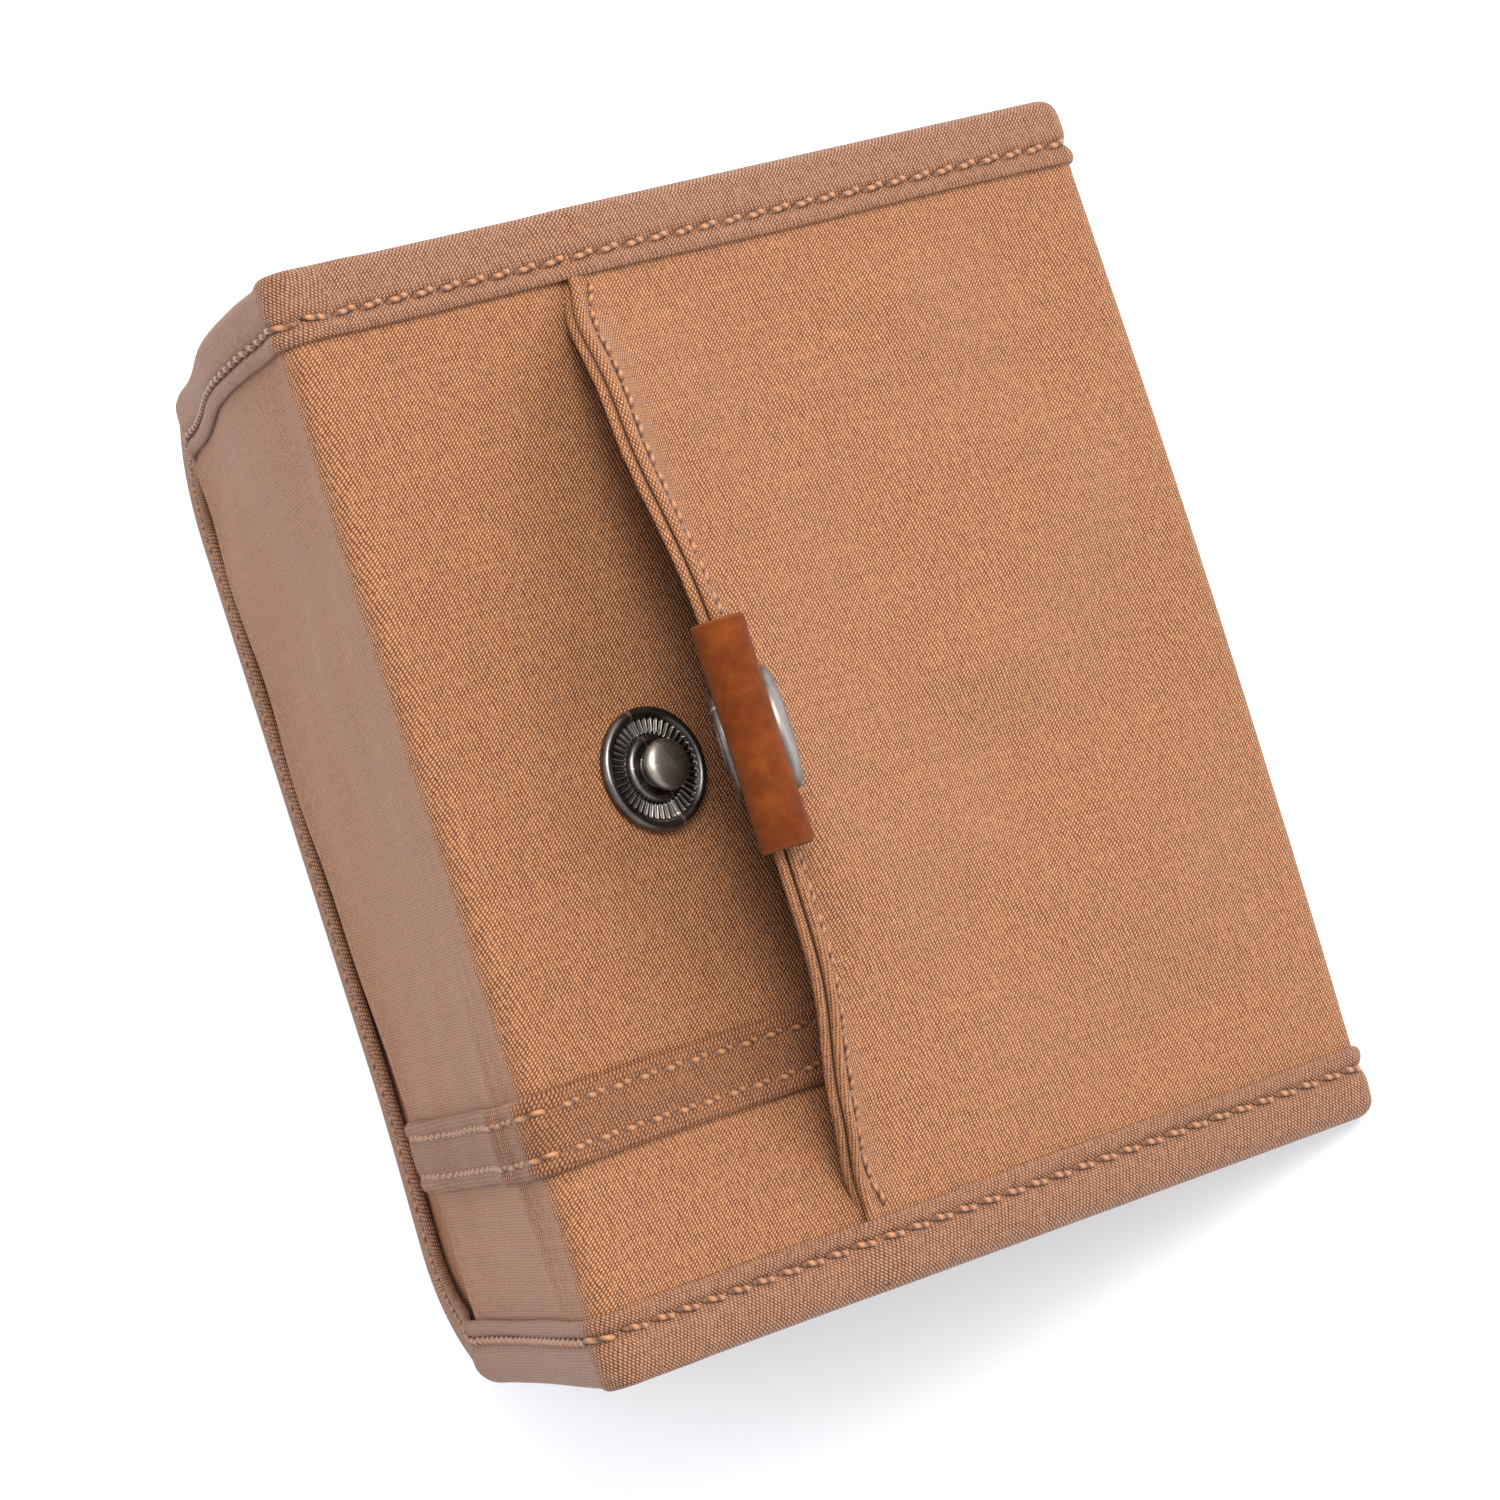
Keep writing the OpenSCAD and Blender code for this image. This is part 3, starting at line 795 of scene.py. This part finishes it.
# ---- strap
def strap_section():
    """(offset across the strap, height above the cloth) from one folded edge to the other."""
    side = [(STRAP_W / 2 + x, h) for x, h in (
        (-0.08, -0.1), (0.04, 0.30), (-0.15, 0.64), (-0.6, 0.76), (-1.05, 0.66), (-STRAP_ROW, 0.44),
        (-1.65, 0.62), (-2.2, 0.70))]
    return np.array(side + [(0, 0.70)] + [(-x, h) for x, h in side[::-1]])


def strap_sway(s):
    return 0.15 * np.sin(s / 17.0) + 0.06 * np.sin(s / 6.1)


def strap_run(name, s, tucked=False):
    """A length of strap, with the pull of its two seams; tucked turns its first end under."""
    sideways, rise = strap_section().T[:, :, None]
    base = shell_height(s, STRAP_MID)
    offset = sideways + strap_sway(s)
    groove = bell(np.abs(sideways), STRAP_W / 2 - STRAP_ROW, 0.45)
    wave = PUCKER * 0.8 * (0.5 + 0.5 * np.cos(s / STITCH * math.tau))
    points = place(s, STRAP_MID + offset, base + rise - wave * groove)
    extra = ridge_extra(points[len(rise) // 2], s)
    uv = weave_grid(s + extra, offset)
    if tucked:
        turns = np.linspace(math.pi, 0, 9)[:-1]
        first = offset[:, :1]
        tuck = place(STRAP_END - 0.75 * np.sin(turns), STRAP_MID + first,
                     base[0] + rise * np.cos(turns) - 0.5 * (1 - np.cos(turns)))
        tuck_uv = weave_grid(STRAP_END + extra[0] - turns * 0.8, first)
        points = np.concatenate([tuck, points], axis=1)
        uv = np.concatenate([tuck_uv, uv], axis=1)
    return dress(grid_object(name, points[::-1], uv[::-1]), STRAP, 0.3)


def make_strap():
    left = strap_run("strap_cloth_left", ridge_steps(STRAP_END, SEAM, 0.55), True)
    over_ridge(left)
    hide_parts("strap_left", "strap_spine")
    right = strap_run("strap_cloth_right", steps(SEAM, LIP_U + 4.5, 0.5))
    over_crease(right)
    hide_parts("strap_right")


# ---- stitches
SIDES, RINGS = 7, 8  # round and along one loop of thread


def unit(vectors):
    return vectors / np.linalg.norm(vectors, axis=1)[:, None]


def thread_loop(locate, middle, reach, slant, shift, thick):
    """Vertices of one loop of thread, which goes down into the cloth at both ends."""
    t = np.linspace(-1, 1, RINGS)
    length, side = middle + t * reach, slant * t + shift
    lift = 0.20 * (1 - t ** 4) - 0.22 * t ** 8
    centre = locate(length, side, lift)
    up = unit(locate(length, side, lift + 1.0) - centre)
    ahead = unit(np.gradient(centre, axis=0))
    over = unit(np.cross(ahead, up))
    up = np.cross(over, ahead)
    radius = thick * np.sqrt(np.clip(1 - (t * 0.97) ** 6, 0.02, 1)) / MM
    turns = (np.arange(SIDES) * math.tau / SIDES)[:, None]
    ring = over[:, None] * np.cos(turns) * 1.1 + up[:, None] * np.sin(turns)
    return (centre[:, None] + radius[:, None, None] * ring).reshape(-1, 3)


def loop_faces():
    """Faces of one loop, quads along it and a cap at each end, with their weave coordinates."""
    faces, corners = [], []
    for j in range(RINGS - 1):
        for k in range(SIDES):
            n = (k + 1) % SIDES
            faces.append([j * SIDES + k, j * SIDES + n, (j + 1) * SIDES + n, (j + 1) * SIDES + k])
            x0, x1, y0, y1 = j / (RINGS - 1), (j + 1) / (RINGS - 1), k / SIDES, (k + 1) / SIDES
            corners += [(x0, y0), (x0, y1), (x1, y1), (x1, y0)]
    faces.append(list(range(SIDES))[::-1])
    faces.append(list(range((RINGS - 1) * SIDES, RINGS * SIDES)))
    corners += [(end, k / SIDES) for end in (0, 1) for k in range(SIDES)]
    return faces, corners


def stitch_row(name, locate, start, end, blend, slant=0.22, thick=0.26):
    """A row of short thread loops; locate(length, side, height) gives metres."""
    count = max(1, round((end - start) / STITCH))
    pitch = (end - start) / count
    rng = np.random.default_rng(len(name) + count)
    one_faces, one_corners = loop_faces()
    verts, faces = [], []
    for i in range(count):
        middle = start + (i + 0.5) * pitch + rng.uniform(-0.06, 0.06)
        faces += [[len(verts) + k for k in face] for face in one_faces]
        verts += list(thread_loop(locate, middle, 0.46 * pitch, slant, rng.uniform(-0.03, 0.03), thick))
    obj = mesh_object(name, verts, faces, one_corners * count)
    dress(obj, THREAD, levels=0)
    blend(obj)


def on_tape(faces, face, lift):
    """Height of a thread that lies on the outer (1) or the inner (-1) face of a tape."""
    return faces[0 if face > 0 else 1] + face * (lift - 0.14)


def right_tape_row(side, face):
    """Maps the stitch row of a right-hand tape."""
    def locate(length, across_row, lift):
        return place(length, side * (RIM + ROW + across_row), on_tape(right_tape_heights(length), face, lift))
    return locate


def left_tape_row(face):
    """The same for the left tape, with the whole length of its row."""
    stations = left_outline()

    def locate(length, across_row, lift):
        depth, v, in_depth, in_v = (np.interp(length, stations[0], values) for values in stations[1:])
        inset = TAPE_W - ROW - across_row
        height = on_tape(left_tape_heights(-depth), face, lift)
        return place(-(depth + in_depth * inset), v + in_v * inset, height)
    return locate, stations[0][-1]


def strap_row(side):
    """Maps one of the strap's two rows."""
    def locate(length, across_row, lift):
        v = STRAP_MID + side * (STRAP_W / 2 - STRAP_ROW) + strap_sway(length) + across_row
        return place(length, v, shell_height(length, STRAP_MID) + 0.60 + lift)
    return locate


def mouth_row(sign, mouth):
    """Maps the row along an inner pocket's mouth, on the right (1) or the left half (-1)."""
    def locate(length, across_row, lift):
        return place(sign * (mouth + 2.2 + across_row), length, INNER_BOTTOM - 0.16 - lift)
    return locate


def make_hem_stitches():
    """One row inside the hem of the mouth, in two lengths that stop at the leather tab."""
    v_fine = np.linspace(-EDGE, EDGE, 400)
    arc = running(np.hypot(np.diff(v_fine), np.diff(mouth_reach(v_fine))))

    def hem(length, across_row, lift):
        v = np.interp(length, arc, v_fine)
        return lip_point(mouth_reach(v) - 1.9 + across_row, v, lift - 0.02)
    first, tab_first, tab_last, last = np.interp([-RIM, -TAB_HALF, TAB_HALF, RIM], v_fine, arc)
    stitch_row("stitches_hem_bottom", hem, first + 0.6, tab_first, over_lip, slant=0.10, thick=0.22)
    stitch_row("stitches_hem_top", hem, tab_last, last - 0.6, over_lip, slant=0.10, thick=0.22)


def make_stitches():
    for side, word in ((1, "top"), (-1, "bottom")):
        stitch_row(f"stitches_{word}_outer", right_tape_row(side, 1), SEAM, ROLL_U + 1, over_crease)
        stitch_row(f"stitches_{word}_inner", right_tape_row(side, -1), SPINE + 2, ROLL_U + 1, over_crease)
        stitch_row(f"stitches_strap_{word}_right", strap_row(side), SEAM, LIP_U + 2, over_crease, slant=0.14)
        stitch_row(f"stitches_strap_{word}_left", strap_row(side), STRAP_END + 0.6, SEAM, over_ridge,
                   slant=0.14)
    locate, total = left_tape_row(1)
    stitch_row("stitches_left_outer", locate, 0, total, over_ridge)
    locate, total = left_tape_row(-1)
    stitch_row("stitches_left_inner", locate, 9, total - 9, over_ridge)
    make_hem_stitches()
    end = RIM - 0.5
    stitch_row("stitches_inner_mouth", mouth_row(1, inner_low[0]), -end, end,
               lambda o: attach(o, "right_half"))
    stitch_row("stitches_card_mouth", mouth_row(-1, card_low[0]), -end, end,
               lambda o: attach(o, "left_half"))


# ---- leather tab and snap
TAB_HALF = (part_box("leather_tab")[1].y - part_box("leather_tab")[0].y) / 2 * MM
TAB_REACH = 16.8  # from the lip's fold line to the tab's fold
TAB_OUT, TAB_IN = 2.8, -1.8  # outer and inner faces of the tab, out from the lip's axis
SNAP_D = LIP_U - STUD_U  # the snap's distance from the fold line, so that it meets the stud
lip_along = -math.cos(LIP_ANGLE) * along_right + math.sin(LIP_ANGLE) * out_right
lip_out = math.sin(LIP_ANGLE) * along_right + math.cos(LIP_ANGLE) * out_right


def lip_place(d, v, n):
    """Metres for a point in the rigid lip's own axes."""
    d, v, n = together(d, v, n)
    out = lip_axis + d[..., None] * lip_along + n[..., None] * lip_out
    out[..., 1] += v
    return out / MM


def make_tab():
    """One strip of leather folded over the mouth: two legs and a round fold, with softened edges."""
    outer_r = (TAB_OUT - TAB_IN) / 2
    mid = (TAB_OUT + TAB_IN) / 2
    centre = TAB_REACH - outer_r
    path = [(d, TAB_OUT, 0, 1) for d in np.linspace(1.8, centre, 16)]
    for a in np.linspace(0, math.pi, 17)[1:-1]:
        path.append((centre + outer_r * math.sin(a), mid + outer_r * math.cos(a), math.sin(a), math.cos(a)))
    path += [(d, TAB_IN, 0, -1) for d in np.linspace(centre, 2.6, 25)]
    walls = [1.65] * 16 + [1.5] * 15 + [1.25] * 25
    rows, uvs = [], []
    for (d, n, nd, nn), wall in zip(path, walls):
        ring, ring_uv = [], []
        swell = 0.10 * ripple(d, n * 3, 6, 81)
        for v, depth in section_ring(wall):
            on_face = depth < wall / 2
            if nn == -1 and on_face:
                depth += 1.15 * float(smooth(3.2 - math.hypot(d - SNAP_D, v), 0, 0.8))
            else:
                depth -= 0.18 * (v / TAB_HALF) ** 2 * (1 if on_face else 0.6) + swell * 0.3
            ring.append(lip_place(d - nd * depth, v * (1 + 0.004 * swell), n - nn * depth))
            ring_uv.append((d / MM, (v + depth) / MM))
        rows.append(ring)
        uvs.append(ring_uv + [ring_uv[0]])
    obj = grid_object("nubuck_tab", np.array(rows)[::-1], np.array(uvs)[::-1], ring=True)
    cap_ends(obj, len(rows), len(rows[0]))
    dress(obj, LEATHER)
    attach(obj, "pocket_flap")
    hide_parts("leather_tab")


def section_ring(wall, corner=0.35):
    """Closed ring of (v, depth) round the leather's cross-section, with round corners."""
    x = TAB_HALF - corner
    r = min(corner, wall / 2 - 0.01)
    rounding = [(x + corner * math.sin(a), r * (1 - math.cos(a))) for a in np.radians((35, 70))]
    side = rounding + [(x + corner, wall / 2)] + [(v, wall - depth) for v, depth in rounding[::-1]]
    face = [(v, 0.0) for v in np.linspace(-x, x, 25)]
    return face + side + [(-v, wall - depth) for v, depth in face + side]


def cap_ends(obj, rows, columns):
    """Closes the two ends of a swept ring."""
    def close(bm):
        for first in (0, (rows - 1) * columns):
            bm.verts.ensure_lookup_table()
            face = bm.faces.new([bm.verts[first + k] for k in range(columns)])
            bmesh.ops.poke(bm, faces=[face])
        bmesh.ops.recalc_face_normals(bm, faces=bm.faces)
    edit_mesh(obj, close)
    obj.data.polygons.foreach_set("use_smooth", [True] * len(obj.data.polygons))


def lathe(name, foot, axis, profile, material, flutes=None, segments=120):
    """Turned piece: profile is (radius, height) pairs; flutes is (inner r, outer r, depth, count)."""
    turns = np.linspace(0, math.tau, segments, endpoint=False)
    side = np.array([0.0, 1.0, 0.0])
    spokes = np.cos(turns)[:, None] * side + np.sin(turns)[:, None] * np.cross(axis, side)
    turn_uv = np.append(turns, math.tau) * 0.004
    rows, uvs = [], []
    for r, h in profile:
        height = np.full(segments, float(h))
        if flutes and flutes[0] < r < flutes[1]:
            height += flutes[2] * np.clip(np.cos(turns * flutes[3]), -0.3, 1)
        rows.append((foot + r * spokes + height[:, None] * axis) / MM)
        uvs.append(np.stack([turn_uv, np.full(segments + 1, (r + h) / MM)], axis=-1))
    obj = grid_object(name, np.array(rows), np.array(uvs), ring=True, merge=0.0005)
    edit_mesh(obj, lambda bm: bmesh.ops.recalc_face_normals(bm, faces=bm.faces))
    return dress(obj, material, levels=0)


def rounded(points):
    """Rounds a list of (r, h) corners by cutting each one twice."""
    pts = np.array(points, float)
    for _ in range(2):
        cut = [pts[0]]
        for a, b in zip(pts[:-1], pts[1:]):
            cut += [a * 0.75 + b * 0.25, a * 0.25 + b * 0.75]
        cut.append(pts[-1])
        pts = np.array(cut)
    return [tuple(p) for p in pts]


def make_snap():
    r = (stud_high[1] - stud_low[1]) / 2
    knob = 2.3
    foot = ridge + STUD_U * along_right + SHELL * out_right
    rim = rounded([(r - 0.5, -0.1), (r, 0.05), (r + 0.02, 0.55), (r - 0.25, 0.95), (r - 0.7, 0.95),
                   (r - 0.95, 0.62)])
    floor = [(x, 0.40) for x in np.linspace(r - 1.1, 3.15, 12)]
    collar = rounded([(3.05, 0.40), (3.0, 0.95), (2.6, 1.15), (2.25, 1.0), (1.75, 0.95), (1.7, 1.3)])
    profile = [(0.02, -0.1)] + rim + floor + collar + [(1.7, 2.0), (0.02, 2.0)]
    dish = lathe("stud_disc", foot, out_right, profile, METAL,
                 flutes=(3.2, r - 1.0, 0.20, 44), segments=352)
    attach(dish, "right_half")
    dome = rounded([(0.02, 1.5), (1.7, 1.5), (1.75, 1.8), (knob, 2.0), (knob + 0.02, 2.55),
                    (knob - 0.35, 2.95), (1.2, 3.10), (0.02, 3.14)])
    head = lathe("stud_knob", foot, out_right, dome, KNOB_METAL)
    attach(head, "right_half")
    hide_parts("snap_stud")

    snap = lip_axis + SNAP_D * lip_along
    cap = lathe("cap_disc", snap + (TAB_OUT - 0.15) * lip_out, lip_out,
                rounded([(0.02, -0.2), (r - 0.1, -0.2), (r + 0.05, 0.2), (r - 0.05, 0.7), (r - 0.8, 1.15),
                         (r - 1.5, 1.1), (r - 2.2, 1.3), (0.02, 1.45)]), CAP_METAL)
    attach(cap, "pocket_flap")
    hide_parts("snap_cap")

    ring = lathe("socket_ring", snap + (TAB_IN + 0.15) * lip_out, -lip_out,
                 rounded([(r - 0.6, -0.1), (r - 0.5, 0.35), (r - 0.9, 0.75), (r - 1.5, 0.6)])
                 + [(x, 0.45) for x in np.linspace(r - 1.6, 3.1, 8)]
                 + rounded([(3.05, 0.5), (2.95, 0.8), (2.6, 0.8), (2.5, 0.3), (2.45, -0.9), (0.02, -0.9)]),
                 METAL, flutes=(3.1, r - 1.6, 0.16, 40), segments=320)
    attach(ring, "pocket_flap")
    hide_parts("snap_socket")


# ---- carried-over CAD nodes


def finish_cad_nodes():
    for node, material in (("right_stiffener", BOARD), ("stud_washer", METAL)):
        data = frame["nodes"][node].data
        data.materials.clear()
        data.materials.append(material)


# ---- camera, light and floor
def make_camera():
    """The photo's camera; gives its right, up and backward directions."""
    elevation = math.radians(74.7)
    roll = math.radians(17.64)
    tilt = math.radians(1.4)  # how far it leans along the fold
    distance, aim_x, aim_y = 594.0, 27.0, -1.32  # its aim: from the ridge, across the fold and along it
    above = np.array([math.cos(elevation), 0, math.sin(elevation)])
    x_axis = np.array([math.sin(elevation), 0, -math.cos(elevation)])
    y_axis = np.array([0.0, math.cos(tilt), 0.0]) + math.sin(tilt) * above
    back = math.cos(tilt) * above - np.array([0.0, math.sin(tilt), 0.0])
    right = x_axis * math.cos(roll) - y_axis * math.sin(roll)
    up = x_axis * math.sin(roll) + y_axis * math.cos(roll)
    position = (ridge + aim_x * x_axis + aim_y * y_axis + distance * back) / MM
    data = bpy.data.cameras.new("camera")
    data.sensor_width = 36.0
    data.lens = 166.8
    data.clip_start, data.clip_end = 0.02, 20
    camera = bpy.data.objects.new("camera", data)
    bpy.context.scene.collection.objects.link(camera)
    camera.matrix_world = Matrix([*zip(right, up, back, position), (0, 0, 0, 1)])
    bpy.context.scene.camera = camera
    return right, up, back


def area_light(name, position, size, power, colour):
    """A soft rectangular light, turned towards the wallet."""
    data = bpy.data.lights.new(name, "AREA")
    data.shape = "RECTANGLE"
    data.size, data.size_y = size
    data.energy = power
    data.color = colour
    lamp = bpy.data.objects.new(name, data)
    bpy.context.scene.collection.objects.link(lamp)
    lamp.location = tuple(position)
    to_wallet = Vector((0, 0, 0.03)) - Vector(position)
    lamp.rotation_euler = to_wallet.to_track_quat("-Z", "Y").to_euler()


def make_stage():
    bpy.ops.mesh.primitive_plane_add(size=4, location=(0, 0, -0.0002))
    floor = bpy.context.object
    floor.name = "floor"
    k = Nodes("pale_floor")
    pale = k.ramp(k.noise(k.where, 40.0), (0.0, (0.93, 0.93, 0.94, 1)), (1.0, (0.96, 0.96, 0.96, 1)))
    k.shade(Base_Color=pale, Roughness=0.9)
    floor.data.materials.append(k.material)
    right, up, back = make_camera()
    scene = bpy.context.scene
    scene.world = bpy.data.worlds.new("studio")
    scene.world.use_nodes = True
    sky = scene.world.node_tree.nodes["Background"]
    sky.inputs["Color"].default_value = (0.93, 0.96, 1.0, 1)
    sky.inputs["Strength"].default_value = 1.08
    area_light("key", up * 0.40 + back * 0.80 + right * 0.04, (0.5, 0.4), 10.5, (1.0, 0.98, 0.95))
    area_light("side", right * 0.8 + back * 0.45 + up * 0.1, (0.5, 0.5), 3.0, (1.0, 0.97, 0.94))
    area_light("fill", -right * 0.85 + back * 0.35 - up * 0.1, (0.7, 0.7), 2.0, (0.93, 0.96, 1.0))
    scene.view_settings.view_transform = "Standard"


make_stage()
make_shell()
make_left_inside()
make_right_inside()
make_pocket_cloth()
make_right_tape(1, "tape_top_right", "right_top_binding", "spine_top_binding")
make_right_tape(-1, "tape_bottom_right", "right_bottom_binding", "spine_bottom_binding")
make_left_tape()
make_strap()
make_tab()
make_snap()
make_stitches()
finish_cad_nodes()
